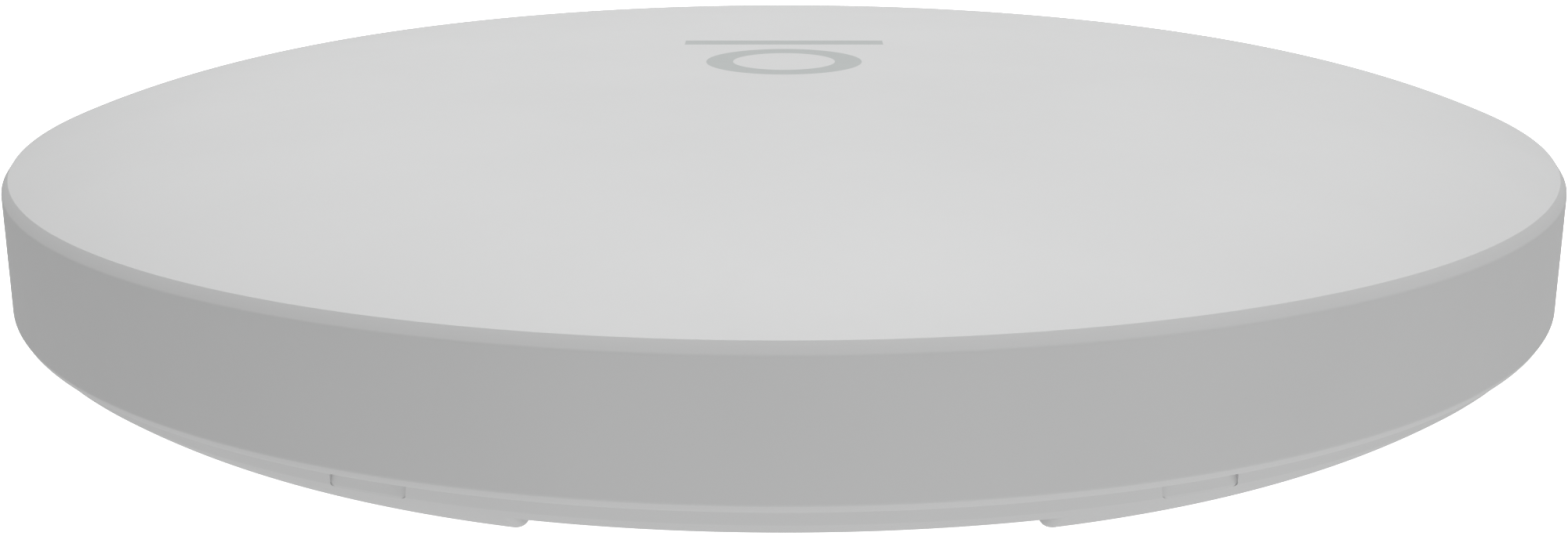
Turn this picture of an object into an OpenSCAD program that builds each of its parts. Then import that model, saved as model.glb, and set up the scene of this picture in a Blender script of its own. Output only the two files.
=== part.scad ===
// Ceiling access point: a domed cover snapped onto a round rear housing, with the radio board,
// its antennas, the heat sink and the two network sockets between them.
// Units are mm. The rim of the housing rests on the ceiling at z = 0 and +Z runs out through the face.
// The port bay and the cable notch are on the -Y side.

/* [Cover] */
// Outside diameter at the widest edge
body_d = 220; // [216:1:226]
// Height from the rim to the top of the dome
body_h = 37; // [36.5:0.5:39]
// Rise of the dome above the edge of the face
dome_rise = 9.5; // [8.5:0.5:10.5]
// How late the dome falls away towards its edge
dome_power = 4.9; // [4:0.1:6]
// Wall thickness of the cover
cover_t = 2.2; // [2:0.1:2.4]

/* [Housing] */
// Height of the line where the cover meets the housing
parting_z = 9; // [8.6:0.1:9.4]
// Depth of the bracket recess in the back
recess_depth = 4.9; // [4.6:0.1:5]
// Wall thickness of the housing
housing_t = 2; // [1.8:0.1:2.2]
// Number of snap arms on each side of the housing
snap_arms = 4; // [3:1:5]

/* [Ports] */
// Width of the cable notch and of the port bay
bay_w = 56; // [54:1:58]
// Length of the port bay, for a plug and its boot
bay_len = 32; // [28:1:32]
// Distance between the two sockets
jack_pitch = 20; // [18:0.5:20]
// Travel of the reset button
reset_travel = 0.8; // [0.5:0.1:1]

/* [Electronics] */
// Radius of the main board
board_r = 86; // [84:1:90]
// Thickness of the main board
board_t = 1.6; // [1.2:0.1:1.8]
// Radius of the circle that the mounting studs stand on
stud_circle_r = 50; // [48:1:52]

/* [Hidden] */

cut = 1;                                    // how far a cutter runs past the surface it opens
gap = 0.3;                                  // gap between neighbouring pieces that don't touch

body_r = body_d / 2;
face_r = body_r - 0.95;                     // edge of the domed face
face_z = body_h - dome_rise;
widest_z = face_z - 1.4;
wall_foot_r = body_r - 0.2;
chamfer_h = 1;
foot_r = body_r - 0.8;                      // lower edge of the cover
cover_in_r = body_r - cover_t - 0.4;
dome_in_r = cover_in_r - 0.9;               // where the wall's inside turns into the dome's
shoulder_z = widest_z - 0.8;
dome_steps = 36;

skirt_top = [body_r - 1, parting_z];        // the skirt's section: a flat band, then a curve to the rim
skirt_crease = [body_r - 3.1, parting_z - 2.15];
skirt_pull = [body_r - 9, 2.2];             // control point of the curve
skirt_foot_r = body_r - 15;
skirt_steps = 24;
rim_w = 4;
rim_edge_r = 1.6;                           // rounding of the inner edge of the rim
recess_r = skirt_foot_r - rim_w;
floor_z = recess_depth;
floor_top = floor_z + housing_t;
lip_out_r = cover_in_r - 0.4;
lip_in_r = lip_out_r - 2;
lip_top = parting_z + 3;
lip_blend = 0.5;                            // height of the slope between the lip and the skirt's inside

snap_w = 8;
snap_first = 24.7;                          // angle of the first arm from the -Y side
snap_last = 162;
arm_t = 1.7;
arm_in_r = lip_in_r - arm_t;
arm_root_z = parting_z - 2.2;
nose_z = lip_top + 4.2;
nose_h = 1.8;
nose_reach = 1.5;
catch_h = 1.7;
catch_z = nose_z - gap - catch_h;
catch_in_r = lip_in_r + 0.6;

notch_half = bay_w / 2 + 0.8;
notch_r = 1.4;                              // rounding where the notch's sides meet the skirt
notch_side = 4.5;                           // wall left beside the notch
slot_x = [40.2, 49.1];                      // pry slots under the cover, each side of the notch
slot_z = 6.35;
slot_corner = 0.6;
slot_lean = 0.7;                            // how far the ends of a slot lean away from the middle
slot_in = 1.1;                              // depth behind the skirt at the edge of the cover
frame_in = 6;                               // how far the notch's frame runs inside the recess's edge
edge_lap = 0.3;                             // overlap of the runs of a rounded edge
edge_lean = 8.7;                            // the skirt's turn away from square beside the notch

bay_in_y = -60;                             // wall that the sockets look through
bay_end_y = bay_in_y - bay_len;
wall_t = housing_t;

plate_t = 2;
plate_top = floor_top + plate_t;
plate_r = 80;
jack_w = 16;
jack_h = 13.5;
jack_len = 16.4;
board_z = floor_top + 0.2 + jack_h;
board_top = board_z + board_t;
bay_top = board_z + 0.4;
notch_in_board = [bay_w + 2 * wall_t + 4, bay_in_y + wall_t + 1];
jack_a_x = -15;
jack_xs = [jack_a_x, jack_a_x + jack_pitch];
reset_x = 20.5;
reset_z = board_z - 3;

stud_angles = [45, 135, 225, 315];
stud_head_r = 4;
stud_neck_r = 2.4;
stud_shank_r = 2;
stud_tip_z = 0.9;
stud_head_h = 1.2;
rivet_r = 3.2;                              // riveted end on the heat sink
rivet_h = 0.9;

board_screw_xy = [[64, -20], [-64, -20], [52, 52], [-52, 52], [40, -48], [-40, -48]];
chassis_screw_xy = [[62, 36], [-62, 36], [62, -36], [-62, -36]];
boss_r = 4;
screw_r = 1.45;
screw_hole_r = 1.5;
screw_head_r = 2.8;
screw_head_h = 1.8;
screw_cross = [3, 0.6, 1];                  // length, width and depth of the cross in the head
board_screw_len = 9;
chassis_screw_len = 7.5;

chip_xy = [6, 10];
chip_w = 19;
chip_h = 1.2;
pad_w = chip_w - 1;
pad_h = 0.8;
pedestal_w = 24;
pedestal_z = board_z - chip_h - pad_h;
can_xy = [[28, 34], [-28, 34]];
can_size = [34, 26, 3];
can_t = 0.25;
radio_size = [11, 11, 0.9];
lan_transformer_y = -35;
lan_transformer_size = [15, 9, 5.5];
lan_chip_xy = [20.5, -30];
lan_chip_size = [9, 9, 0.9];
memory_x = 28;
memory_ys = [3, 19];
memory_size = [13, 9, 1];
flash_xy = [8, -14];
flash_size = [8, 6, 0.9];
crystal_xy = [[-10, 14], [33, -28]];
crystal_size = [3.2, 2.5, 0.8];
power_transformer_xy = [-44, -20];
power_transformer_size = [16, 14, 9];
inductor_xy = [-42, 0];
inductor_size = [10, 10, 5];
capacitor_x = -58;
capacitor_ys = [-8, 4, 16];
capacitor_r = 4;
capacitor_h = 9.5;
power_chip_xy = [-26, -14];
power_chip_size = [6, 6, 0.9];

plug_w = 11.8;
plug_h = 6.8;
plug_len = 13;
plug_z = board_z - 11;
latch_w = 6.3;
latch_h = 1.8;
contact_count = 8;
contact_pitch = 1.02;
contact_w = 0.4;
contact_groove = 1;
window_gap = 0.2;

cap_r = 2;
cap_hole_r = cap_r + 0.05;
cap_proud = 0.4;
cap_bevel = 0.3;
cap_shoulder = cap_proud + wall_t + gap;
flange_r = cap_r + 0.8;
flange_t = 1;
plunger_y = bay_in_y - cap_proud + cap_shoulder + flange_t;
plunger_r = 1.4;
plunger_len = 3.6;
switch_w = 6;
switch_len = 4.5;
switch_h = 6;

chassis_boss_h = 4;
fin_count = 9;
fin_pitch = 6;
fin_t = 1.8;
fin_len = 30;
fin_y = 56;
fin_h = 5;
lock_w = 14;
lock_z = 1.6;
lock_h = 2;
led_size = [3.2, 2.8, 1.6];
guide_r = 2.4;
guide_head_r = 4.5;
guide_flare = 2;
label_w = 56;
label_h = 22;
label_t = 0.2;
label_y = 56;
label_corner = 2;

antenna_t = 0.5;
antenna_leg = 4;                            // widths of the feed leg, the grounding leg and the bent edge
antenna_ground = 1.5;
antenna_ground_x = 7;
antenna_edge = 3;
antenna_2g_size = [30, 8.5, 8];             // width, height and depth
antenna_5g_size = [15, 6, 5];
rf_module_back = 10;                        // how far the front-end modules stand inside the antennas
rf_module_size = [4, 4, 0.9];
antenna_2g_place = [[78, 90], [78, 215], [78, 325]];
antenna_5g_place = [[78, 30], [78, 150], [50, 270]];

smooth = 180;
fine = 48;

white_plastic = [0.86, 0.87, 0.87];
aluminium = [0.72, 0.73, 0.74];
board_green = [0.07, 0.3, 0.2];
steel = [0.78, 0.78, 0.76];
brass_plate = [0.83, 0.78, 0.6];
black_resin = [0.07, 0.07, 0.08];

// ---------- shared shapes ----------

// Height of the outside of the dome at radius r
function dome_z(r) = face_z + dome_rise * (1 - pow(r / face_r, dome_power));

// Points of the dome from the centre to radius r_end, lowered by drop
function dome_line(r_end, drop) =
    [for (i = [0 : dome_steps]) let (r = r_end * sin(90 * i / dome_steps)) [r, dome_z(r) - drop]];

// Point of the skirt's curve, from the crease at u = 0 down to the rim at u = 1
function skirt_curve(u) =
    (1 - u) * (1 - u) * skirt_crease + 2 * u * (1 - u) * skirt_pull + u * u * [skirt_foot_r, 0];

// Outside of the skirt, from the parting line down to the rim
skirt_line = concat([skirt_top], [for (i = [0 : skirt_steps]) skirt_curve(i / skirt_steps)]);

// Radius of the skirt at height z, below the crease
function skirt_r(z) = lookup(z, [for (p = skirt_line) [p[1], p[0]]]);

// The same line moved into the material by t
function moved_in(line, t) = [for (i = [0 : len(line) - 1])
    let (a = line[max(i - 1, 0)], b = line[min(i + 1, len(line) - 1)], d = (b - a) / norm(b - a))
    line[i] + t * [d[1], -d[0]]];

function reversed(line) = [for (i = [len(line) - 1 : -1 : 0]) line[i]];

module box(x, y, z) {
    translate([x[0], y[0], z[0]])
        cube([x[1] - x[0], y[1] - y[0], z[1] - z[0]]);
}

// A part standing on or hanging from the board, centred at xy
module block(xy, size, z) {
    translate([xy[0] - size[0] / 2, xy[1] - size[1] / 2, z])
        cube(size);
}

module hung(xy, size) {
    block(xy, size, board_z - size[2]);
}

// Places its children at a radius and an angle, facing outwards along +X
module around(r, angle) {
    rotate([0, 0, angle])
        translate([r, 0, 0])
            children();
}

module at_snaps() {
    for (side = [-1, 1], i = [0 : snap_arms - 1])
        rotate([0, 0, -90 + side * (snap_first + (snap_last - snap_first) * i / (snap_arms - 1))])
            children();
}

module at_studs() {
    for (angle = stud_angles)
        around(stud_circle_r, angle)
            children();
}

// Pan head screw with its head up, seated at z = 0
module screw(length) {
    difference() {
        union() {
            translate([0, 0, -length])
                cylinder(r = screw_r, h = length, $fn = fine);
            rotate_extrude($fn = fine)
                polygon([[0, 0], [screw_head_r, 0], [screw_head_r, screw_head_h * 0.55],
                         [screw_head_r * 0.8, screw_head_h * 0.9], [screw_head_r * 0.45, screw_head_h],
                         [0, screw_head_h]]);
        }
        for (turn = [0, 90])
            rotate([0, 0, turn])
                translate([-screw_cross[0] / 2, -screw_cross[1] / 2, screw_head_h - screw_cross[2]])
                    cube(screw_cross + [0, 0, cut]);
    }
}

// ---------- shells ----------

module front_cover() {
    outside = dome_line(face_r, 0);
    inside = dome_line(dome_in_r, cover_t);
    color(white_plastic)
        union() {
            rotate_extrude($fn = smooth)
                polygon(concat(
                    outside,
                    [[body_r, widest_z], [wall_foot_r, parting_z + chamfer_h], [foot_r, parting_z]],
                    [[cover_in_r, parting_z], [cover_in_r, shoulder_z]],
                    reversed(inside)
                ));
            at_snaps()
                box([catch_in_r, cover_in_r + cover_t / 2], [-snap_w / 2, snap_w / 2],
                    [catch_z, nose_z - gap]);
        }
}

module housing_shell() {
    inside = [for (p = moved_in(skirt_line, housing_t)) if (p[0] < lip_in_r) p];
    rim_edge = [for (a = [180 : 15 : 270])
        [recess_r + rim_edge_r + rim_edge_r * cos(a), rim_edge_r + rim_edge_r * sin(a)]];
    rotate_extrude($fn = smooth)
        polygon(concat(
            [[0, floor_top], [0, floor_z], [recess_r, floor_z]],
            rim_edge,
            reversed(skirt_line),
            [[lip_out_r, parting_z], [lip_out_r, lip_top], [lip_in_r, lip_top]],
            [[lip_in_r, inside[0][1] + lip_blend]],
            inside,
            [[recess_r + housing_t, housing_t], [recess_r + housing_t, floor_top]]
        ));
}

// Closes the hollow rim beside and above the cable notch
module notch_frame() {
    intersection() {
        rotate_extrude($fn = smooth)
            polygon(concat([[0, 0]], reversed(skirt_line), [[0, parting_z]]));
        box([-notch_half - notch_side, notch_half + notch_side], [-body_r, -recess_r + frame_in],
            [0, floor_top]);
    }
}

// What the rounding takes off the corner between a side of the notch, along Y, and the skirt, at angle lean
module corner_waste(radius, lean) {
    centre = [radius, radius * (1 + sin(lean)) / cos(lean)];
    reach = radius * cos(lean) + centre[1] * sin(lean);
    difference() {
        polygon([[-cut, -cut], [-cut, centre[1]], centre, reach * [cos(lean), sin(lean)], [reach, -cut]]);
        translate(centre)
            circle(r = radius, $fn = fine);
    }
}

// Rounds the corner along one run of the skirt, between two heights, on the +X side
module notch_edge(low, high) {
    a = -sqrt(pow(skirt_r(low), 2) - pow(notch_half, 2));
    b = -sqrt(pow(skirt_r(high), 2) - pow(notch_half, 2));
    climb = atan2(high - low, a - b);
    translate([notch_half, a, low])
        rotate([90 - climb, 0, 0])
            translate([0, 0, -edge_lap])
                linear_extrude(norm([b - a, high - low]) + 2 * edge_lap)
                    corner_waste(notch_r, edge_lean);
}

// The cable notch, from the port bay out through the rim
module notch() {
    box([-notch_half, notch_half], [-body_r - cut, -recess_r + frame_in], [-cut, floor_z]);
    intersection() {
        box([-body_r, body_r], [-body_r - cut, 0], [-cut, floor_z]);
        for (side = [0, 1])
            mirror([side, 0, 0]) {
                notch_edge(0, floor_z / 2);
                notch_edge(floor_z / 2, floor_z);
            }
    }
}

module snap_arm() {
    box([arm_in_r, lip_in_r + edge_lap], [-snap_w / 2, snap_w / 2], [arm_root_z, nose_z + nose_h]);
    rotate([90, 0, 0])
        translate([0, 0, -snap_w / 2])
            linear_extrude(snap_w)
                polygon([[arm_in_r + arm_t, nose_z], [arm_in_r + arm_t + nose_reach, nose_z],
                         [arm_in_r + arm_t, nose_z + nose_h]]);
}

// A pry slot seen along Y: its ends lean outwards and its lower corners are rounded
module slot_outline() {
    slope = slot_lean / (parting_z - slot_z);
    near = [slot_x[0] + slot_corner, slot_z + slot_corner];
    far = [slot_x[1] - slot_corner, slot_z + slot_corner];
    line = concat([[slot_x[0], parting_z]],
                  [for (a = [180 : 15 : 270]) near + slot_corner * [cos(a), sin(a)]],
                  [for (a = [270 : 15 : 360]) far + slot_corner * [cos(a), sin(a)]],
                  [[slot_x[1], parting_z]]);
    polygon([for (p = line) [p[0] + slope * (parting_z - p[1]), p[1]]]);
}

// Two slots under the edge of the cover, for a tool that lifts it off the snap arms
module pry_slots() {
    intersection() {
        rotate_extrude($fn = smooth)
            polygon([[skirt_r(slot_z), slot_z], [body_r + cut, slot_z],
                     [body_r + cut, parting_z], [skirt_top[0] - slot_in, parting_z]]);
        for (side = [0, 1])
            mirror([side, 0, 0])
                rotate([90, 0, 0])
                    linear_extrude(body_r + cut)
                        slot_outline();
    }
}

module rear_housing() {
    half = bay_w / 2;
    color(white_plastic)
        difference() {
            union() {
                housing_shell();
                notch_frame();
                at_snaps()
                    snap_arm();
                box([-half - wall_t, half + wall_t], [bay_end_y - wall_t, bay_in_y + wall_t],
                    [floor_z, bay_top + wall_t]);
            }
            box([-half, half], [bay_end_y, bay_in_y], [-cut, bay_top]);
            notch();
            for (x = jack_xs)
                box([x - jack_w / 2 - window_gap, x + jack_w / 2 + window_gap],
                    [bay_in_y - cut, bay_in_y + wall_t + cut],
                    [board_z - jack_h - window_gap, board_z + window_gap]);
            translate([reset_x, bay_in_y - cut, reset_z])
                rotate([-90, 0, 0])
                    cylinder(r = cap_hole_r, h = wall_t + 2 * cut, $fn = fine);
            pry_slots();
            at_studs()
                translate([0, 0, floor_z - cut])
                    cylinder(r = stud_shank_r + 0.1, h = housing_t + 2 * cut, $fn = fine);
            for (xy = chassis_screw_xy)
                translate([xy[0], xy[1], floor_z - cut])
                    cylinder(r = screw_hole_r + 0.1, h = housing_t + 2 * cut, $fn = fine);
            // Slot in the wall of the recess that the bracket's lock snaps into
            box([-lock_w / 2, lock_w / 2], [recess_r - cut, recess_r + housing_t + cut],
                [lock_z, lock_z + lock_h]);
        }
}

// ---------- heat sink and board ----------

module heat_sink() {
    color(aluminium)
        difference() {
            union() {
                translate([0, 0, floor_top])
                    cylinder(r = plate_r, h = plate_t, $fn = smooth);
                for (xy = board_screw_xy)
                    translate([xy[0], xy[1], plate_top - cut])
                        cylinder(r = boss_r, h = board_z - plate_top + cut, $fn = fine);
                for (xy = chassis_screw_xy)
                    translate([xy[0], xy[1], plate_top - cut])
                        cylinder(r = boss_r, h = chassis_boss_h + cut, $fn = fine);
                block(chip_xy, [pedestal_w, pedestal_w, pedestal_z - plate_top + cut], plate_top - cut);
                for (i = [0 : fin_count - 1])
                    block([(i - (fin_count - 1) / 2) * fin_pitch, fin_y], [fin_t, fin_len, fin_h + cut],
                          plate_top - cut);
            }
            box([-bay_w / 2 - wall_t - gap, bay_w / 2 + wall_t + gap],
                [-plate_r - cut, bay_in_y + wall_t + gap], [floor_top - cut, board_z + cut]);
            box([jack_xs[0] - jack_w / 2 - 1, jack_xs[1] + jack_w / 2 + 1],
                [bay_in_y, bay_in_y + jack_len + 1], [floor_top - cut, plate_top + cut]);
            for (xy = board_screw_xy)
                translate([xy[0], xy[1], board_top - board_screw_len - gap])
                    cylinder(r = screw_hole_r, h = board_screw_len, $fn = fine);
            for (xy = chassis_screw_xy)
                translate([xy[0], xy[1], floor_top - cut])
                    cylinder(r = screw_hole_r, h = chassis_screw_len, $fn = fine);
            at_studs()
                translate([0, 0, floor_top - cut])
                    cylinder(r = stud_shank_r + 0.1, h = plate_t + 2 * cut, $fn = fine);
        }
}

module main_board() {
    color(board_green)
        translate([0, 0, board_z])
            linear_extrude(board_t)
                difference() {
                    circle(r = board_r, $fn = smooth);
                    translate([-notch_in_board[0] / 2, -board_r - cut])
                        square([notch_in_board[0], board_r + cut + notch_in_board[1]]);
                    for (xy = board_screw_xy)
                        translate(xy)
                            circle(r = screw_hole_r + 0.1, $fn = fine);
                }
}

// ---------- sockets ----------

module jack_shields() {
    color(steel)
        for (x = jack_xs)
            difference() {
                box([x - jack_w / 2, x + jack_w / 2], [bay_in_y, bay_in_y + jack_len],
                    [board_z - jack_h, board_z]);
                box([x - jack_w / 2 + can_t, x + jack_w / 2 - can_t],
                    [bay_in_y - cut, bay_in_y + jack_len - can_t],
                    [board_z - jack_h + can_t, board_z + cut]);
            }
}

module jack_bodies() {
    color(black_resin)
        for (x = jack_xs)
            difference() {
                box([x - jack_w / 2 + 2 * can_t, x + jack_w / 2 - 2 * can_t],
                    [bay_in_y + can_t, bay_in_y + jack_len - 2 * can_t],
                    [board_z - jack_h + 2 * can_t, board_z]);
                box([x - plug_w / 2, x + plug_w / 2], [bay_in_y - cut, bay_in_y + plug_len],
                    [plug_z, plug_z + plug_h]);
                box([x - latch_w / 2, x + latch_w / 2], [bay_in_y - cut, bay_in_y + plug_len],
                    [plug_z - latch_h, plug_z + cut]);
                for (i = [0 : contact_count - 1])
                    block([x + contact_x(i), bay_in_y + plug_len / 2],
                          [contact_w + window_gap, plug_len, contact_groove + cut], plug_z + plug_h - cut);
            }
}

function contact_x(i) = (i - (contact_count - 1) / 2) * contact_pitch;

// Spring wires of the sockets, folded back from the front of each groove
module jack_contacts() {
    top = plug_z + plug_h + contact_groove;
    front = bay_in_y + 1.2;
    back = bay_in_y + plug_len;
    color(brass_plate)
        for (x = jack_xs, i = [0 : contact_count - 1])
            translate([x + contact_x(i) - contact_w / 2, 0, 0])
                rotate([90, 0, 90])
                    linear_extrude(contact_w)
                        polygon([[back, top], [front, top], [front - 0.3, top - 0.35],
                                 [back - 2.6, top - 2.6], [back - 2.45, top - 2.25],
                                 [front + 1.6, top - 0.45], [back, top - 0.45]]);
}

module lan_transformers() {
    color(black_resin)
        for (x = jack_xs)
            hung([x, lan_transformer_y], lan_transformer_size);
}

// ---------- chips ----------

module lan_chip() {
    color(black_resin)
        hung(lan_chip_xy, lan_chip_size);
}

module processor_chip() {
    color(black_resin)
        hung(chip_xy, [chip_w, chip_w, chip_h]);
}

module processor_pad() {
    color([0.55, 0.65, 0.75])
        block(chip_xy, [pad_w, pad_w, pad_h], pedestal_z);
}

module memory_chips() {
    color(black_resin)
        for (y = memory_ys)
            hung([memory_x, y], memory_size);
}

module flash_chip() {
    color(black_resin)
        hung(flash_xy, flash_size);
}

module crystals() {
    color(steel)
        for (xy = crystal_xy)
            hung(xy, crystal_size);
}

module power_transformer() {
    color(black_resin)
        hung(power_transformer_xy, power_transformer_size);
}

module power_inductor() {
    color([0.25, 0.25, 0.27])
        hung(inductor_xy, inductor_size);
}

module power_capacitors() {
    color([0.6, 0.62, 0.66])
        for (y = capacitor_ys)
            translate([capacitor_x, y, board_z - capacitor_h])
                rotate_extrude($fn = fine)
                    polygon([[0, 0], [capacitor_r - 0.4, 0], [capacitor_r, 0.4],
                             [capacitor_r, capacitor_h - 1.3], [capacitor_r - 0.3, capacitor_h - 0.9],
                             [capacitor_r, capacitor_h - 0.5], [capacitor_r, capacitor_h],
                             [0, capacitor_h]]);
}

module power_chip() {
    color(black_resin)
        hung(power_chip_xy, power_chip_size);
}

module radio_chips() {
    color(black_resin)
        for (xy = can_xy)
            block(xy, radio_size, board_top);
}

module shield_cans() {
    color(steel)
        for (xy = can_xy)
            difference() {
                block(xy, can_size, board_top);
                block(xy, can_size - [2 * can_t, 2 * can_t, can_t], board_top);
            }
}

// Front-end modules, one beside the foot of each antenna
module rf_modules() {
    color(black_resin)
        for (place = concat(antenna_2g_place, antenna_5g_place))
            around(place[0] - rf_module_back, place[1])
                block([0, 0], rf_module_size, board_top);
}

// ---------- antennas ----------

// Bent sheet antenna: a feed leg and a grounding leg under a top plate with a bent edge
module antenna(size) {
    side = -size[0] / 2;
    top = board_top + size[1];
    sheet = [0, antenna_t];
    box(sheet, [side, side + antenna_leg], [board_top, top]);
    box(sheet, [side + antenna_ground_x, side + antenna_ground_x + antenna_ground], [board_top, top]);
    box([-size[2], antenna_t], [side, -side], [top - antenna_t, top]);
    box(sheet, [side, -side], [top - antenna_edge, top]);
}

module antennas_2g() {
    color(brass_plate)
        for (place = antenna_2g_place)
            around(place[0], place[1])
                antenna(antenna_2g_size);
}

module antennas_5g() {
    color(brass_plate)
        for (place = antenna_5g_place)
            around(place[0], place[1])
                antenna(antenna_5g_size);
}

// ---------- status light ----------

module status_led() {
    color([0.95, 0.93, 0.8])
        block([0, 0], led_size, board_top);
}

module light_guide() {
    foot_z = board_top + led_size[2] + gap;
    guide_h = dome_z(0) - cover_t - foot_z;
    color([0.85, 0.9, 0.95, 0.6])
        translate([0, 0, foot_z])
            rotate_extrude($fn = fine)
                polygon([[0, 0], [guide_r, 0], [guide_r, guide_h - guide_flare], [guide_head_r, guide_h],
                         [0, guide_h]]);
}

// ---------- reset button ----------

module reset_cap() {
    color([0.3, 0.3, 0.32])
        translate([reset_x, bay_in_y - cap_proud, reset_z])
            rotate([-90, 0, 0])
                rotate_extrude($fn = fine)
                    polygon([[0, 0], [cap_r - cap_bevel, 0], [cap_r, cap_bevel], [cap_r, cap_shoulder],
                             [flange_r, cap_shoulder], [flange_r, cap_shoulder + flange_t],
                             [0, cap_shoulder + flange_t]]);
}

module reset_plunger() {
    color(black_resin)
        translate([reset_x, plunger_y, reset_z])
            rotate([-90, 0, 0])
                cylinder(r = plunger_r, h = plunger_len, $fn = fine);
}

module reset_switch() {
    front = plunger_y + reset_travel + gap;
    color([0.18, 0.18, 0.2])
        difference() {
            box([reset_x - switch_w / 2, reset_x + switch_w / 2], [front, front + switch_len],
                [board_z - switch_h, board_z]);
            translate([reset_x, front - cut, reset_z])
                rotate([-90, 0, 0])
                    cylinder(r = plunger_r + 0.05, h = cut + plunger_len, $fn = fine);
        }
}

// ---------- fasteners, studs and label ----------

module board_screws() {
    color(steel)
        for (xy = board_screw_xy)
            translate([xy[0], xy[1], board_top])
                screw(board_screw_len);
}

module chassis_screws() {
    color(steel)
        for (xy = chassis_screw_xy)
            translate([xy[0], xy[1], floor_z])
                rotate([180, 0, 0])
                    screw(chassis_screw_len);
}

// Shoulder studs riveted through the floor and the heat sink, for the keyholes of a bracket
module mount_studs() {
    color(steel)
        at_studs()
            rotate_extrude($fn = fine)
                polygon([[0, stud_tip_z], [stud_head_r, stud_tip_z],
                         [stud_head_r, stud_tip_z + stud_head_h], [stud_neck_r, stud_tip_z + stud_head_h],
                         [stud_neck_r, floor_z], [stud_shank_r, floor_z], [stud_shank_r, plate_top],
                         [rivet_r, plate_top], [rivet_r - 0.4, plate_top + rivet_h],
                         [0, plate_top + rivet_h]]);
}

module rating_label() {
    color([0.95, 0.95, 0.95])
        translate([0, label_y, floor_z - label_t])
            linear_extrude(label_t)
                difference() {
                    square([label_w, label_h], center = true);
                    for (sx = [-1, 1], sy = [-1, 1])
                        translate([sx * label_w / 2, sy * label_h / 2])
                            rotate(45)
                                square(label_corner, center = true);
                }
}

front_cover();
rear_housing();
heat_sink();
main_board();
jack_shields();
jack_bodies();
jack_contacts();
lan_transformers();
lan_chip();
processor_chip();
processor_pad();
memory_chips();
flash_chip();
crystals();
radio_chips();
shield_cans();
rf_modules();
antennas_2g();
antennas_5g();
power_transformer();
power_inductor();
power_capacitors();
power_chip();
status_led();
light_guide();
reset_cap();
reset_plunger();
reset_switch();
board_screws();
chassis_screws();
mount_studs();
rating_label();
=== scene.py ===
"""Looks for the ceiling access point: fine shells, procedural finishes, floor, lights and camera."""

import math

import bmesh
import bpy
from mathutils import Matrix, Vector


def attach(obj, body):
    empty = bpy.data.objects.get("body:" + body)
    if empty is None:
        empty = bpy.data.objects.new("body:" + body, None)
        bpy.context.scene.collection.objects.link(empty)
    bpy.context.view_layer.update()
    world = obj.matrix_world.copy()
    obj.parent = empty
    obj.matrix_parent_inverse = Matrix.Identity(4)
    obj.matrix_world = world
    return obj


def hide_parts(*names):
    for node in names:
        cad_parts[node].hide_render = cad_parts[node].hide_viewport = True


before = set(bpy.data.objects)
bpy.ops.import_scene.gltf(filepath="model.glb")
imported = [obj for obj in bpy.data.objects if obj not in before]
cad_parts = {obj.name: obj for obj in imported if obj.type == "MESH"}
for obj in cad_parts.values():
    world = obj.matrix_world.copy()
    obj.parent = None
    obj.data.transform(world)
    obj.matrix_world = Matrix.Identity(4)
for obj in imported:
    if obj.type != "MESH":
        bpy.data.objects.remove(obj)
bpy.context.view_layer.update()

MM = 0.001
SCENE = bpy.context.scene

# ---------------------------------------------------------------------------
# Sizes in mm, the same as the CAD's
# ---------------------------------------------------------------------------

# Cover
BODY_R = 110.0
BODY_H = 37.0
DOME_RISE = 9.5
DOME_POWER = 4.9
COVER_T = 2.2
FACE_R = BODY_R - 0.95
FACE_Z = BODY_H - DOME_RISE
WIDEST_Z = FACE_Z - 1.4
CHAMFER_H = 1.0
WALL_FOOT_R = BODY_R - 0.2
FOOT_R = BODY_R - 0.8
EDGE_SOFT = 0.22
PARTING_Z = 9.0
COVER_IN_R = BODY_R - COVER_T - 0.4
CEILING_R = COVER_IN_R - 0.9
SHOULDER_Z = WIDEST_Z - 0.8

# Skirt, rim, recess and floor of the housing
HOUSING_T = 2.0
SKIRT_TOP = Vector((BODY_R - 1, PARTING_Z))
SKIRT_CREASE = Vector((BODY_R - 3.1, PARTING_Z - 2.15))
SKIRT_PULL = Vector((BODY_R - 9, 2.2))
SKIRT_FOOT = Vector((BODY_R - 15, 0))
SKIRT_SOFT = 0.3
SKIRT_START = 0.03
RIM_EDGE_R = 1.6
RECESS_R = SKIRT_FOOT[0] - 4
FLOOR_Z = 4.9
FLOOR_TOP = FLOOR_Z + HOUSING_T

# Lip, snap arms and the cover's catches
LIP_OUT_R = COVER_IN_R - 0.4
LIP_IN_R = LIP_OUT_R - 2.0
LIP_TOP = PARTING_Z + 3.0
LIP_CLEAR = 0.1
LIP_ROOT_UP = 0.5
SNAP_HALF_W = 4.0
SNAP_FIRST, SNAP_LAST, SNAP_COUNT = 24.7, 162, 4
ARM_IN_R = LIP_IN_R - 1.7
ARM_LAP = 0.2
ARM_ROOT_Z = PARTING_Z - 2.2
NOSE_Z = LIP_TOP + 4.2
NOSE_H = 1.8
NOSE_REACH = 1.5
NOSE_ROOT_R = ARM_IN_R + 0.5
CATCH_R = (LIP_IN_R + 0.6, COVER_IN_R + 0.8)
CATCH_Z = (NOSE_Z - 2.0, NOSE_Z - 0.3)

# Sockets, port bay and reset button
JACK_W, JACK_H = 16.0, 13.5
JACK_GAP = 0.2
JACK_XS = (-15.0, 5.0)
BOARD_Z = FLOOR_TOP + 0.2 + JACK_H
BAY_HALF_W = 28.0
BAY_IN_Y = -60.0
BAY_END_Y = -92.0
BAY_TOP = BOARD_Z + 0.4
RESET_X, RESET_Z = 20.5, BOARD_Z - 3
RESET_HOLE_R = 2.05

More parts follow.
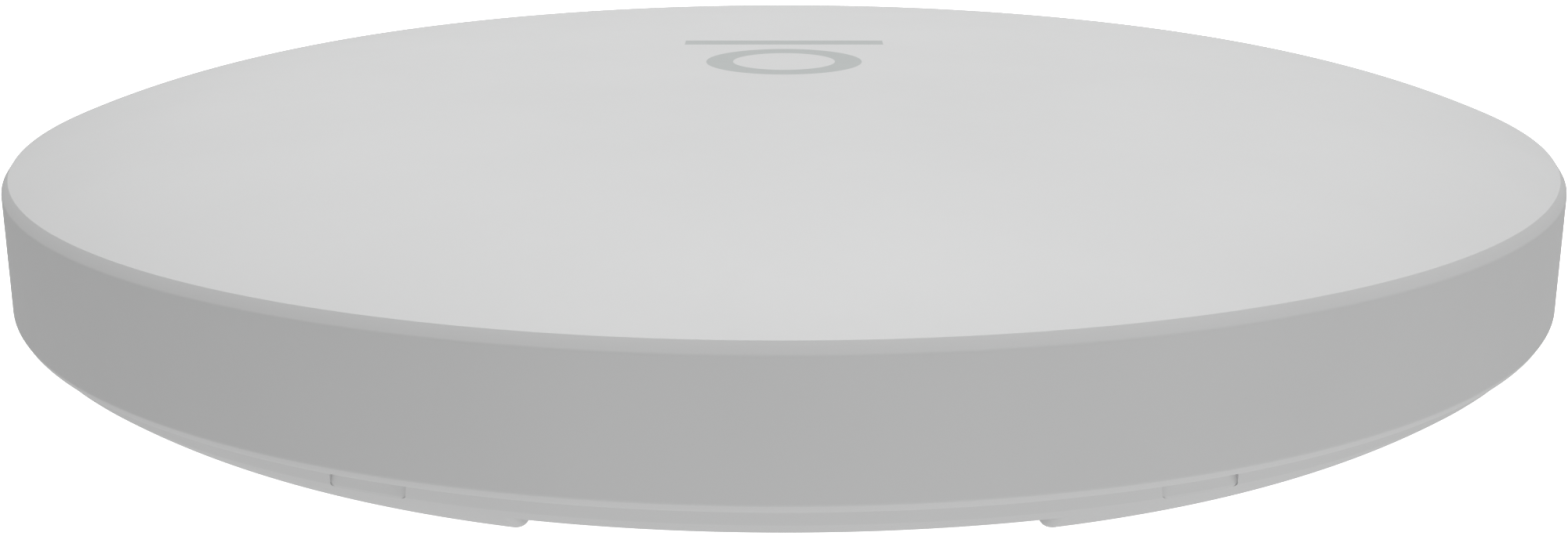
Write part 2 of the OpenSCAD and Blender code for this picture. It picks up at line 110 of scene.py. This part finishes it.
# Cable notch and pry slots
NOTCH_HALF = BAY_HALF_W + 0.8
NOTCH_R = 1.4
NOTCH_SIDE = 4.5
NOTCH_IN_Y = -RECESS_R + 6
SLOT_X = (40.2, 49.1)
SLOT_Z = 6.35
SLOT_CORNER = 0.6
SLOT_LEAN = 0.7
SLOT_IN = 1.1

# Holes in the floor and the recess's wall
STUD_XY = 50 / math.sqrt(2)
STUD_HOLE_R = 2.1
SCREW_X, SCREW_Y = 62, 36
SCREW_HOLE_R = 1.6
LOCK_HALF_W = 7
LOCK_Z = (1.6, 3.6)

# Printed mark on the face
PRINT_EDGE = 0.05
RING_Y, RING_IN, RING_OUT = 5.0, 7.6, 11.6
BAR_HALF_W, BAR_Y = 15.5, (21.0, 25.0)

# Working values: cutters run past what they open, and a nudge keeps faces from lying on each other
CUT = 1
TOOL_PAST = 2
RING_PAST = 3
NUDGE = 0.01
SEGMENTS = 384
ROD_SEGMENTS = 64
CORNER_STEPS = 8
CREASE_ANGLE = 26
MERGE, SLIVER = 0.0002, 0.002

# ---------------------------------------------------------------------------
# Mesh helpers
# ---------------------------------------------------------------------------


def new_object(name, bm):
    """A mesh object from a bmesh in mm."""
    bmesh.ops.recalc_face_normals(bm, faces=bm.faces)
    mesh = bpy.data.meshes.new(name)
    bm.to_mesh(mesh)
    bm.free()
    mesh.transform(Matrix.Scale(MM, 4))
    obj = bpy.data.objects.new(name, mesh)
    SCENE.collection.objects.link(obj)
    return obj


def revolve(name, section):
    """Turns a closed section of (radius, height) points about Z. A point at radius 0 is one vertex."""
    bm = bmesh.new()
    rings = []
    for r, z in section:
        if r < 1e-9:
            rings.append([bm.verts.new((0, 0, z))])
            continue
        rings.append([
            bm.verts.new((r * math.cos(a), r * math.sin(a), z))
            for a in (2 * math.pi * i / SEGMENTS for i in range(SEGMENTS))
        ])
    for k, ring in enumerate(rings):
        after = rings[(k + 1) % len(rings)]
        for i in range(SEGMENTS):
            j = (i + 1) % SEGMENTS
            corners = [ring[i % len(ring)], ring[j % len(ring)],
                       after[j % len(after)], after[i % len(after)]]
            face = list(dict.fromkeys(corners))
            if len(face) > 2:
                bm.faces.new(face)
    return new_object(name, bm)


def box(name, x, y, z, turn=None):
    """A closed box from ranges in mm, turned by a matrix about the origin."""
    bm = bmesh.new()
    bmesh.ops.create_cube(bm, size=1)
    size = Vector((x[1] - x[0], y[1] - y[0], z[1] - z[0]))
    middle = Vector(((x[0] + x[1]) / 2, (y[0] + y[1]) / 2, (z[0] + z[1]) / 2))
    bmesh.ops.scale(bm, vec=size, verts=bm.verts)
    bmesh.ops.translate(bm, vec=middle, verts=bm.verts)
    if turn is not None:
        bmesh.ops.transform(bm, matrix=turn, verts=bm.verts)
    return new_object(name, bm)


def prism(name, outline, y):
    """An outline in X and Z, run along Y."""
    bm = bmesh.new()
    near = [bm.verts.new((px, y[0], pz)) for px, pz in outline]
    far = [bm.verts.new((px, y[1], pz)) for px, pz in outline]
    bm.faces.new(near)
    bm.faces.new(list(reversed(far)))
    for i in range(len(outline)):
        j = (i + 1) % len(outline)
        bm.faces.new([near[i], far[i], far[j], near[j]])
    return new_object(name, bm)


def rod(name, centre, radius, length, axis="Z"):
    """A closed cylinder that starts at centre and runs along +axis."""
    bm = bmesh.new()
    bmesh.ops.create_cone(
        bm, cap_ends=True, segments=ROD_SEGMENTS, radius1=radius, radius2=radius, depth=length)
    bmesh.ops.translate(bm, vec=(0, 0, length / 2), verts=bm.verts)
    turn = {"Z": Matrix.Identity(4), "Y": Matrix.Rotation(math.radians(-90), 4, "X")}[axis]
    bmesh.ops.transform(bm, matrix=Matrix.Translation(centre) @ turn, verts=bm.verts)
    return new_object(name, bm)


def combine(target, tool, operation):
    """Applies one boolean and removes the tool."""
    mod = target.modifiers.new("bool", "BOOLEAN")
    mod.operation = operation
    mod.solver = "MANIFOLD"
    mod.object = tool
    bpy.context.view_layer.update()
    made = bpy.data.meshes.new_from_object(target.evaluated_get(bpy.context.evaluated_depsgraph_get()))
    target.modifiers.remove(mod)
    old = target.data
    target.data = made
    bpy.data.meshes.remove(old)
    bpy.data.objects.remove(tool)


def smooth(obj):
    """Cleans up after the booleans, then shades smooth with edges over the crease angle kept crisp."""
    bm = bmesh.new()
    bm.from_mesh(obj.data)
    bmesh.ops.remove_doubles(bm, verts=bm.verts, dist=MERGE * MM)
    bmesh.ops.dissolve_degenerate(bm, dist=SLIVER * MM, edges=bm.edges)
    bmesh.ops.triangulate(bm, faces=[f for f in bm.faces if len(f.verts) > 4])
    limit = math.radians(CREASE_ANGLE)
    for e in bm.edges:
        e.smooth = len(e.link_faces) == 2 and e.calc_face_angle(0) < limit
    for f in bm.faces:
        f.smooth = True
    bm.to_mesh(obj.data)
    bm.free()


def snap_turns():
    """Turns about Z that carry a shape from +X to each snap arm, on both sides of the port bay."""
    spread = SNAP_LAST - SNAP_FIRST
    angles = [SNAP_FIRST + spread * i / (SNAP_COUNT - 1) for i in range(SNAP_COUNT)]
    return [Matrix.Rotation(math.radians(-90 + side * a), 4, "Z") for side in (-1, 1) for a in angles]


def arc(centre, radius, start, stop, steps):
    """Points on an arc in the section plane, angles in degrees."""
    return [
        (centre[0] + radius * math.cos(math.radians(start + (stop - start) * i / steps)),
         centre[1] + radius * math.sin(math.radians(start + (stop - start) * i / steps)))
        for i in range(steps + 1)
    ]


def eased(points, radius, steps=3, share=0.45):
    """Rounds every corner of an open line by a small radius, or by a share of a short side."""
    out = [points[0]]
    for a, b, c in zip(points, points[1:], points[2:]):
        pa, pb, pc = Vector(a), Vector(b), Vector(c)
        u, v = (pa - pb), (pc - pb)
        cut = min(radius, u.length * share, v.length * share)
        s, e = pb + u.normalized() * cut, pb + v.normalized() * cut
        for i in range(steps + 1):
            t = i / steps
            p = s * (1 - t) ** 2 + pb * 2 * t * (1 - t) + e * t * t
            out.append((p.x, p.y))
    out.append(points[-1])
    return out


# ---------------------------------------------------------------------------
# Sections
# ---------------------------------------------------------------------------


def dome_z(r):
    """Height of the face at a radius."""
    return FACE_Z + DOME_RISE * (1 - (r / FACE_R) ** DOME_POWER)


def dome_line(r_end, drop, steps=56):
    """The face's section from the middle out to a radius, lowered by drop."""
    radii = [r_end * math.sin(math.pi / 2 * i / steps) for i in range(steps + 1)]
    return [(r, dome_z(r) - drop) for r in radii]


def skirt_curve(u):
    """Point of the skirt's curve, from the crease at u = 0 down to the rim at u = 1."""
    return SKIRT_CREASE * (1 - u) ** 2 + SKIRT_PULL * 2 * u * (1 - u) + SKIRT_FOOT * u * u


def skirt_line(steps=40):
    """The flat band under the cover's edge, a soft crease, and the curve down to the rim."""
    band = (SKIRT_CREASE - SKIRT_TOP).normalized()
    line = [SKIRT_TOP, SKIRT_CREASE - band * SKIRT_SOFT]
    line += [skirt_curve(SKIRT_START + (1 - SKIRT_START) * i / steps) for i in range(steps + 1)]
    return [(p.x, p.y) for p in line]


def skirt_r(z):
    """Radius of the skirt at a height below the crease."""
    z = max(z, 0)
    low, high = 0.0, 1.0
    for _ in range(40):
        u = (low + high) / 2
        low, high = (u, high) if skirt_curve(u).y > z else (low, u)
    return skirt_curve(u).x


def moved_in(line, t):
    """The line moved to its inner side by t."""
    out = []
    for i, p in enumerate(line):
        a, b = Vector(line[max(i - 1, 0)]), Vector(line[min(i + 1, len(line) - 1)])
        d = (b - a).normalized()
        out.append((p[0] + t * d.y, p[1] - t * d.x))
    return out


def build_cover():
    """A domed shell with a chamfered edge, and a catch inside for each snap arm."""
    corners = [
        dome_line(FACE_R, 0)[-2],
        (FACE_R, FACE_Z),
        (BODY_R, WIDEST_Z),
        (WALL_FOOT_R, PARTING_Z + CHAMFER_H),
        (FOOT_R, PARTING_Z),
        (COVER_IN_R, PARTING_Z),
    ]
    outside = dome_line(FACE_R, 0)[:-2] + eased(corners, EDGE_SOFT)
    inside = [(COVER_IN_R, SHOULDER_Z)] + dome_line(CEILING_R, COVER_T)[::-1]
    cover = revolve("cover", outside + inside)
    for turn in snap_turns():
        catch = box("tool", CATCH_R, (-SNAP_HALF_W, SNAP_HALF_W), CATCH_Z, turn)
        combine(cover, catch, "UNION")
    smooth(cover)
    return cover


def notch_corner(side):
    """What the rounding takes off the corner between a side of the notch and the skirt.

    At each height the corner's curve runs from the side of the notch to the skirt. It reaches further
    along the side where the skirt leans more, and the rest of the outline lies outside the housing.
    """
    levels, steps = 10, 12
    heights = [-CUT] + [FLOOR_Z * i / levels for i in range(levels + 1)]
    rise = 0.05
    off_skirt = 0.03
    past_skirt, past_side, out = 0.3, 0.5, 3
    end_x = NOTCH_HALF + NOTCH_R
    rings = []
    bm = bmesh.new()
    for z in heights:
        r = skirt_r(z)
        y = -math.sqrt(r * r - NOTCH_HALF ** 2)
        y_above = -math.sqrt(skirt_r(max(z, 0) + rise) ** 2 - NOTCH_HALF ** 2)
        stretch = math.hypot(1, (y_above - y) / rise)
        corner = Vector((NOTCH_HALF, y))
        wall_end = corner + Vector((0, NOTCH_R * stretch))
        skirt_end = Vector((end_x, -math.sqrt((r + off_skirt) ** 2 - end_x ** 2)))
        curve = []
        for i in range(steps + 1):
            t = i / steps
            curve.append(wall_end * (1 - t) ** 2 + corner * 2 * t * (1 - t) + skirt_end * t * t)
        outline = curve + [
            skirt_end + Vector((past_skirt, -out)),
            corner + Vector((-past_side, -out)),
            wall_end + Vector((-past_side, 0)),
        ]
        rings.append([bm.verts.new((side * p.x, p.y, z)) for p in outline])
    for low, high in zip(rings, rings[1:]):
        for i in range(len(low)):
            j = (i + 1) % len(low)
            bm.faces.new([low[i], low[j], high[j], high[i]])
    bm.faces.new(rings[0][::-1])
    bm.faces.new(rings[-1])
    return new_object("tool", bm)


def pry_slot(side):
    """A slot under the edge of the cover, cut along Y: leaning ends, rounded lower corners."""
    centre_z = SLOT_Z + SLOT_CORNER
    outline = (
        [(SLOT_X[0], PARTING_Z)]
        + arc((SLOT_X[0] + SLOT_CORNER, centre_z), SLOT_CORNER, 180, 270, CORNER_STEPS)
        + arc((SLOT_X[1] - SLOT_CORNER, centre_z), SLOT_CORNER, 270, 360, CORNER_STEPS)
        + [(SLOT_X[1], PARTING_Z)]
    )
    lean = SLOT_LEAN / (PARTING_Z - SLOT_Z)
    leaning = [(side * (x + lean * (PARTING_Z - z)), z) for x, z in outline]
    tool = prism("tool", leaning, (-BODY_R - TOOL_PAST, BAY_IN_Y))
    low = Vector((skirt_r(SLOT_Z), SLOT_Z))
    high = Vector((SKIRT_TOP[0] - SLOT_IN, PARTING_Z))
    back = high - low
    low, high = low - back, high + back
    outer = BODY_R + RING_PAST
    ring = revolve("tool2", [tuple(low), (outer, low[1]), (outer, high[1]), tuple(high)])
    combine(tool, ring, "INTERSECT")
    return tool


def add_snap_arms(housing):
    """Arms behind the lip, each with a nose that the cover's catch sits under."""
    hook = [(NOSE_ROOT_R, NOSE_Z), (LIP_IN_R + NOSE_REACH, NOSE_Z), (LIP_IN_R, NOSE_Z + NOSE_H),
            (NOSE_ROOT_R, NOSE_Z + NOSE_H)]
    width = (-SNAP_HALF_W, SNAP_HALF_W)
    for turn in snap_turns():
        arm = box("tool", (ARM_IN_R, LIP_IN_R + ARM_LAP), width, (ARM_ROOT_Z, NOSE_Z + NOSE_H), turn)
        combine(housing, arm, "UNION")
        nose = prism("tool", hook, width)
        nose.data.transform(turn)
        combine(housing, nose, "UNION")


def floor_hole(x, y, radius):
    """A cutter for a round hole through the floor."""
    return rod("tool", (x, y, FLOOR_Z - CUT), radius, HOUSING_T + 2 * CUT)


def build_housing():
    """The skirt and floor as one turned shell, then the port bay, the notch's frame, arms, openings."""
    skirt = skirt_line()
    inside = [p for p in moved_in(skirt, HOUSING_T) if p[0] < LIP_IN_R - LIP_CLEAR]
    rim = arc((RECESS_R + RIM_EDGE_R, RIM_EDGE_R), RIM_EDGE_R, 180, 270, CORNER_STEPS)
    section = (
        [(0, FLOOR_TOP), (0, FLOOR_Z), (RECESS_R, FLOOR_Z)] + rim + skirt[::-1]
        + [(LIP_OUT_R, PARTING_Z), (LIP_OUT_R, LIP_TOP), (LIP_IN_R, LIP_TOP)]
        + [(LIP_IN_R, inside[0][1] + LIP_ROOT_UP)]
        + inside
        + [(RECESS_R + HOUSING_T, HOUSING_T), (RECESS_R + HOUSING_T, FLOOR_TOP)]
    )
    housing = revolve("housing", section)

    frame_block = revolve("tool", [(0, 0)] + skirt[::-1] + [(0, PARTING_Z)])
    reach = NOTCH_HALF + NOTCH_SIDE
    around_notch = box("tool2", (-reach, reach), (-BODY_R, NOTCH_IN_Y), (0, FLOOR_TOP))
    combine(frame_block, around_notch, "INTERSECT")
    combine(housing, frame_block, "UNION")
    bay_out = BAY_HALF_W + HOUSING_T
    bay_walls = box("tool", (-bay_out, bay_out), (BAY_END_Y - HOUSING_T, BAY_IN_Y + HOUSING_T),
                    (FLOOR_Z + NUDGE, BAY_TOP + HOUSING_T))
    combine(housing, bay_walls, "UNION")
    add_snap_arms(housing)

    bay_wall_y = (BAY_IN_Y - CUT, BAY_IN_Y + HOUSING_T + CUT)
    jack_z = (BOARD_Z - JACK_H - JACK_GAP, BOARD_Z + JACK_GAP)
    jack_half = JACK_W / 2
    notch_y = (-BODY_R - TOOL_PAST, NOTCH_IN_Y)
    cutters = [
        box("tool", (-BAY_HALF_W, BAY_HALF_W), (BAY_END_Y, BAY_IN_Y), (-CUT, BAY_TOP)),
        box("tool", (-NOTCH_HALF, NOTCH_HALF), notch_y, (-CUT, FLOOR_Z + 2 * NUDGE)),
    ]
    cutters += [notch_corner(side) for side in (-1, 1)]
    cutters += [
        box("tool", (x - jack_half - JACK_GAP, x + jack_half + JACK_GAP), bay_wall_y, jack_z)
        for x in JACK_XS
    ]
    reset_start = (RESET_X, bay_wall_y[0], RESET_Z)
    cutters.append(rod("tool", reset_start, RESET_HOLE_R, HOUSING_T + 2 * CUT, "Y"))
    cutters += [pry_slot(side) for side in (-1, 1)]
    for sx in (-1, 1):
        for sy in (-1, 1):
            cutters.append(floor_hole(sx * STUD_XY, sy * STUD_XY, STUD_HOLE_R))
            cutters.append(floor_hole(sx * SCREW_X, sy * SCREW_Y, SCREW_HOLE_R))
    lock_y = (RECESS_R - CUT, RECESS_R + HOUSING_T + CUT)
    cutters.append(box("tool", (-LOCK_HALF_W, LOCK_HALF_W), lock_y, LOCK_Z))
    for cutter in cutters:
        combine(housing, cutter, "DIFFERENCE")
    smooth(housing)
    return housing


# ---------------------------------------------------------------------------
# Materials
# ---------------------------------------------------------------------------


GRAIN_DEPTH, FINE_DEPTH = 0.00003, 0.00002  # bump distances in metres
MIX_FACTOR, MIX_A, MIX_B, MIX_OUT = 0, 6, 7, 2  # sockets of a colour Mix node


class Finish:
    """Small wrapper that builds one node material."""

    def __init__(self, name):
        self.mat = bpy.data.materials.new(name)
        self.mat.use_nodes = True
        self.tree = self.mat.node_tree
        self.tree.nodes.clear()
        self.out = self.add("ShaderNodeOutputMaterial")
        self.shader = self.add("ShaderNodeBsdfPrincipled")
        self.link(self.shader.outputs[0], self.out.inputs[0])
        self.coords = self.add("ShaderNodeTexCoord").outputs["Object"]

    def add(self, kind, **values):
        """A new node with the given properties."""
        node = self.tree.nodes.new(kind)
        for key, value in values.items():
            setattr(node, key, value)
        return node

    def link(self, a, b):
        self.tree.links.new(a, b)

    def set(self, **sockets):
        """Sets the shader's sockets by name, with _ for a space."""
        for key, value in sockets.items():
            self.shader.inputs[key.replace("_", " ")].default_value = value

    def math(self, operation, *terms):
        """A Math node of numbers and sockets."""
        node = self.add("ShaderNodeMath", operation=operation)
        for socket, term in zip(node.inputs, terms):
            if isinstance(term, (int, float)):
                socket.default_value = term
            else:
                self.link(term, socket)
        return node.outputs[0]

    def noise(self, scale, detail=3, rough=0.5):
        """Noise over the object's own coordinates."""
        node = self.add("ShaderNodeTexNoise")
        node.inputs["Scale"].default_value = scale
        node.inputs["Detail"].default_value = detail
        node.inputs["Roughness"].default_value = rough
        self.link(self.coords, node.inputs["Vector"])
        return node.outputs["Fac"]

    def ramp(self, fac, low, high, dark, light):
        """Colours from dark at low to light at high."""
        node = self.add("ShaderNodeValToRGB")
        for stop, position, colour in zip(node.color_ramp.elements, (low, high), (dark, light)):
            stop.position = position
            stop.color = (*colour, 1)
        self.link(fac, node.inputs[0])
        return node.outputs[0]

    def span(self, fac, low, high):
        """Takes 0..1 to low..high."""
        node = self.add("ShaderNodeMapRange")
        node.inputs["To Min"].default_value = low
        node.inputs["To Max"].default_value = high
        self.link(fac, node.inputs["Value"])
        return node.outputs[0]

    def bump(self, fac, strength, distance):
        """Raises the surface by the noise."""
        node = self.add("ShaderNodeBump")
        node.inputs["Strength"].default_value = strength
        node.inputs["Distance"].default_value = distance
        self.link(fac, node.inputs["Height"])
        self.link(node.outputs[0], self.shader.inputs["Normal"])

    def clouds(self, dark, light):
        """The plastics' faint clouding between two colours."""
        return self.ramp(self.noise(38, 4), 0.35, 0.65, dark, light)

    def lay_over(self, mask, colour):
        """Puts a colour over the base colour where the mask is 1."""
        base = self.shader.inputs["Base Color"]
        mix = self.add("ShaderNodeMix", data_type="RGBA")
        self.link(mask, mix.inputs[MIX_FACTOR])
        self.link(base.links[0].from_socket, mix.inputs[MIX_A])
        self.link(colour, mix.inputs[MIX_B])
        self.link(mix.outputs[MIX_OUT], base)


def moulded(name, light, dark, rough, grain, strength):
    """Moulded plastic: faint clouding of the colour, uneven gloss and a fine spark-eroded grain."""
    f = Finish(name)
    f.link(f.clouds(dark, light), f.shader.inputs["Base Color"])
    f.link(f.span(f.noise(420), *rough), f.shader.inputs["Roughness"])
    f.bump(f.noise(grain, 2, 0.6), strength, GRAIN_DEPTH)
    return f


def metal(name, light, dark, rough, scale, strength):
    """Plated or cast metal with blotches and a fine surface."""
    f = Finish(name)
    f.set(Metallic=1.0)
    f.link(f.ramp(f.noise(scale * 0.3, 4), 0.3, 0.7, dark, light), f.shader.inputs["Base Color"])
    f.link(f.span(f.noise(scale, 4), *rough), f.shader.inputs["Roughness"])
    f.bump(f.noise(scale * 6), strength, FINE_DEPTH)
    return f


def dress(obj, finish):
    """Gives an object one finish."""
    obj.data.materials.clear()
    obj.data.materials.append(finish.mat)


def within(f, amount, low, high):
    """1 where a length lies between low and high in mm, else 0, with a soft edge."""
    edges = []
    for limit, start, stop in ((low, 0, 1), (high, 1, 0)):
        node = f.add("ShaderNodeMapRange")
        node.inputs["From Min"].default_value = (limit - PRINT_EDGE) * MM
        node.inputs["From Max"].default_value = (limit + PRINT_EDGE) * MM
        node.inputs["To Min"].default_value = start
        node.inputs["To Max"].default_value = stop
        f.link(amount, node.inputs["Value"])
        edges.append(node.outputs[0])
    return f.math("MULTIPLY", *edges)


def print_mark(f):
    """A plain ring with a bar beyond it, printed in grey ink on the face."""
    split = f.add("ShaderNodeSeparateXYZ")
    f.link(f.coords, split.inputs[0])
    x, y, z = split.outputs
    across = f.math("ABSOLUTE", x)
    away = f.math("SUBTRACT", y, RING_Y * MM)
    radius = f.math("SQRT", f.math("ADD", f.math("MULTIPLY", x, x), f.math("MULTIPLY", away, away)))
    ring = within(f, radius, RING_IN, RING_OUT)
    bar = f.math("MULTIPLY", within(f, across, -1, BAR_HALF_W), within(f, y, *BAR_Y))
    ink = f.math("MULTIPLY", f.math("MAXIMUM", ring, bar), f.math("GREATER_THAN", z, FACE_Z * MM))
    f.lay_over(ink, f.ramp(f.noise(300), 0.3, 0.7, (0.425, 0.445, 0.44), (0.435, 0.455, 0.45)))


def paint_light_below(f, height, light, dark):
    """Takes the base colour to another one below a height in mm; used for painted light: a lighter colour
    standing in for light from below.
    """
    split = f.add("ShaderNodeSeparateXYZ")
    f.link(f.coords, split.inputs[0])
    f.lay_over(f.math("LESS_THAN", split.outputs["Z"], height * MM), f.clouds(dark, light))


# Painted light: both white plastics get a lighter colour where they turn down to the ceiling, a painted
# highlight on the cover's lower chamfer and painted light from below on the skirt under the crease
SHELL_ROUGH, SHELL_GRAIN, SHELL_STRENGTH = (0.6, 0.68), 2600, 0.12
CHAMFER_TOP = PARTING_Z + CHAMFER_H - 0.1
CREASE_FOOT = SKIRT_CREASE[1] - 0.2

cover_plastic = moulded("cover_plastic", (0.613, 0.615, 0.615), (0.603, 0.605, 0.605),
                        SHELL_ROUGH, SHELL_GRAIN, SHELL_STRENGTH)
print_mark(cover_plastic)
# Painted highlight: the cover is lighter below the top of its lower chamfer
paint_light_below(cover_plastic, CHAMFER_TOP, (0.643, 0.645, 0.645), (0.633, 0.635, 0.635))
# Painted shade: the housing is the same white plastic as the cover, given a darker colour so the band
# under the cover's edge looks shaded
housing_plastic = moulded("housing_plastic", (0.58, 0.582, 0.582), (0.57, 0.572, 0.572),
                          SHELL_ROUGH, SHELL_GRAIN, SHELL_STRENGTH)
# Painted light from below: the skirt is lighter below the crease
paint_light_below(housing_plastic, CREASE_FOOT, (0.608, 0.61, 0.61), (0.598, 0.6, 0.6))

cover = build_cover()
dress(cover, cover_plastic)
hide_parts("front_cover")
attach(cover, "base")

housing = build_housing()
dress(housing, housing_plastic)
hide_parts("rear_housing")
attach(housing, "base")

PLASTICS = [  # name, light, dark, roughness, grain, bump strength, nodes
    ("dark_resin", (0.035, 0.035, 0.04), (0.022, 0.022, 0.026), (0.45, 0.6), 3000, 0.2,
     ["jack_bodies", "lan_transformers", "power_transformer", "reset_switch"]),
    ("chip_resin", (0.045, 0.045, 0.05), (0.03, 0.03, 0.034), (0.55, 0.7), 5000, 0.25,
     ["lan_chip", "processor_chip", "memory_chips", "flash_chip", "radio_chips", "rf_modules",
      "power_chip"]),
    ("button_plastic", (0.2, 0.2, 0.215), (0.17, 0.17, 0.18), (0.4, 0.5), 3000, 0.15,
     ["reset_cap", "reset_plunger"]),
    ("ferrite", (0.16, 0.16, 0.17), (0.12, 0.12, 0.125), (0.6, 0.75), 2400, 0.3, ["power_inductor"]),
    ("thermal_silicone", (0.34, 0.44, 0.56), (0.3, 0.4, 0.5), (0.75, 0.85), 1800, 0.2, ["processor_pad"]),
    ("label_film", (0.86, 0.86, 0.85), (0.83, 0.83, 0.82), (0.35, 0.42), 1500, 0.05, ["rating_label"]),
    ("led_resin", (0.9, 0.87, 0.7), (0.85, 0.82, 0.62), (0.2, 0.3), 1500, 0.05, ["status_led"]),
    ("board_laminate", (0.02, 0.13, 0.075), (0.012, 0.09, 0.05), (0.25, 0.38), 900, 0.12, ["main_board"]),
]
METALS = [  # name, light, dark, roughness, scale, bump strength, nodes
    ("cast_aluminium", (0.7, 0.71, 0.72), (0.6, 0.61, 0.62), (0.42, 0.58), 260, 0.4, ["heat_sink"]),
    ("nickel_plate", (0.78, 0.76, 0.72), (0.7, 0.68, 0.64), (0.2, 0.32), 500, 0.08, ["jack_shields"]),
    ("tin_plate", (0.72, 0.72, 0.7), (0.64, 0.64, 0.62), (0.28, 0.42), 400, 0.15,
     ["shield_cans", "crystals"]),
    ("antenna_sheet", (0.78, 0.74, 0.62), (0.7, 0.66, 0.54), (0.25, 0.4), 300, 0.15,
     ["antennas_2g", "antennas_5g"]),
    ("contact_gold", (0.95, 0.72, 0.32), (0.86, 0.62, 0.26), (0.15, 0.25), 800, 0.05, ["jack_contacts"]),
    ("capacitor_can", (0.74, 0.75, 0.78), (0.68, 0.69, 0.72), (0.22, 0.32), 300, 0.06,
     ["power_capacitors"]),
    ("zinc_steel", (0.72, 0.73, 0.75), (0.6, 0.62, 0.65), (0.22, 0.38), 300, 0.15,
     ["board_screws", "chassis_screws"]),
    ("stud_steel", (0.66, 0.65, 0.63), (0.56, 0.55, 0.53), (0.24, 0.36), 420, 0.1, ["mount_studs"]),
]
for make, rows in ((moulded, PLASTICS), (metal, METALS)):
    for name, light, dark, rough, scale, strength, nodes in rows:
        finish = make(name, light, dark, rough, scale, strength)
        for node in nodes:
            dress(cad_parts[node], finish)

acrylic = Finish("clear_acrylic")
acrylic.set(Base_Color=(0.93, 0.96, 0.98, 1), Transmission_Weight=0.9, IOR=1.49)
acrylic.link(acrylic.span(acrylic.noise(300), 0.06, 0.14), acrylic.shader.inputs["Roughness"])
acrylic.bump(acrylic.noise(900), 0.04, FINE_DEPTH)
dress(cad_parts["light_guide"], acrylic)

# ---------------------------------------------------------------------------
# Camera, floor and light
# ---------------------------------------------------------------------------

SENSOR, LENS = 36, 51.08
CAMERA_PLACE = (0.0, -0.3241, 0.0916)
CAMERA_DOWN = 14.73  # degrees below level
FLOOR_HALF = 4000  # mm
ABOVE, BELOW = 0.18, 0.75  # the world's strength above and below the horizon
HORIZON = 0.03  # half the height over which the one turns into the other

camera_data = bpy.data.cameras.new("camera")
camera_data.sensor_width = SENSOR
camera_data.lens = LENS
camera_data.clip_start = 0.01
camera_data.clip_end = 20
camera = bpy.data.objects.new("camera", camera_data)
camera.location = CAMERA_PLACE
camera.rotation_euler = (math.radians(90 - CAMERA_DOWN), 0, 0)
SCENE.collection.objects.link(camera)
SCENE.camera = camera

# White paper for the camera alone: it takes no part in the lighting, and from below it is clear
floor_bm = bmesh.new()
bmesh.ops.create_grid(floor_bm, x_segments=2, y_segments=2, size=FLOOR_HALF)
floor = new_object("floor", floor_bm)
floor_look = Finish("floor_paper")
paper = floor_look.ramp(floor_look.noise(6), 0.3, 0.7, (0.985, 0.985, 0.985), (1, 1, 1))
floor_look.link(paper, floor_look.shader.inputs["Base Color"])
floor_look.link(paper, floor_look.shader.inputs["Emission Color"])
floor_look.set(Roughness=0.9, Emission_Strength=1.0)
clear = floor_look.add("ShaderNodeBsdfTransparent")
sides = floor_look.add("ShaderNodeMixShader")
floor_look.link(floor_look.add("ShaderNodeNewGeometry").outputs["Backfacing"], sides.inputs[0])
floor_look.link(floor_look.shader.outputs[0], sides.inputs[1])
floor_look.link(clear.outputs[0], sides.inputs[2])
floor_look.link(sides.outputs[0], floor_look.out.inputs[0])
floor.data.materials.append(floor_look.mat)
floor.visible_diffuse = False
floor.visible_glossy = False
floor.visible_transmission = False
floor.visible_shadow = False

world = bpy.data.worlds.new("studio")
SCENE.world = world
world.use_nodes = True
background = world.node_tree.nodes["Background"]
background.inputs[0].default_value = (1, 1, 1, 1)
look = world.node_tree.nodes.new("ShaderNodeTexCoord")
split = world.node_tree.nodes.new("ShaderNodeSeparateXYZ")
fade = world.node_tree.nodes.new("ShaderNodeMapRange")
fade.inputs["From Min"].default_value = -HORIZON
fade.inputs["From Max"].default_value = HORIZON
fade.inputs["To Min"].default_value = BELOW
fade.inputs["To Max"].default_value = ABOVE
world.node_tree.links.new(look.outputs["Generated"], split.inputs[0])
world.node_tree.links.new(split.outputs["Z"], fade.inputs["Value"])
world.node_tree.links.new(fade.outputs[0], background.inputs[1])


def soft_light(name, place, size, power):
    """A round area light that points at the origin."""
    data = bpy.data.lights.new(name, "AREA")
    data.shape = "DISK"
    data.size = size
    data.energy = power
    lamp = bpy.data.objects.new(name, data)
    lamp.location = place
    lamp.rotation_euler = (Vector() - Vector(place)).to_track_quat("-Z", "Y").to_euler()
    SCENE.collection.objects.link(lamp)


soft_light("overhead", (0, 0.35, 1.4), 1.6, 24)
soft_light("front_right", (1.3, -1.1, 0.25), 0.5, 3.15)
soft_light("front", (0, -1.6, 0.25), 0.5, 3.6)

SCENE.view_settings.view_transform = "Standard"
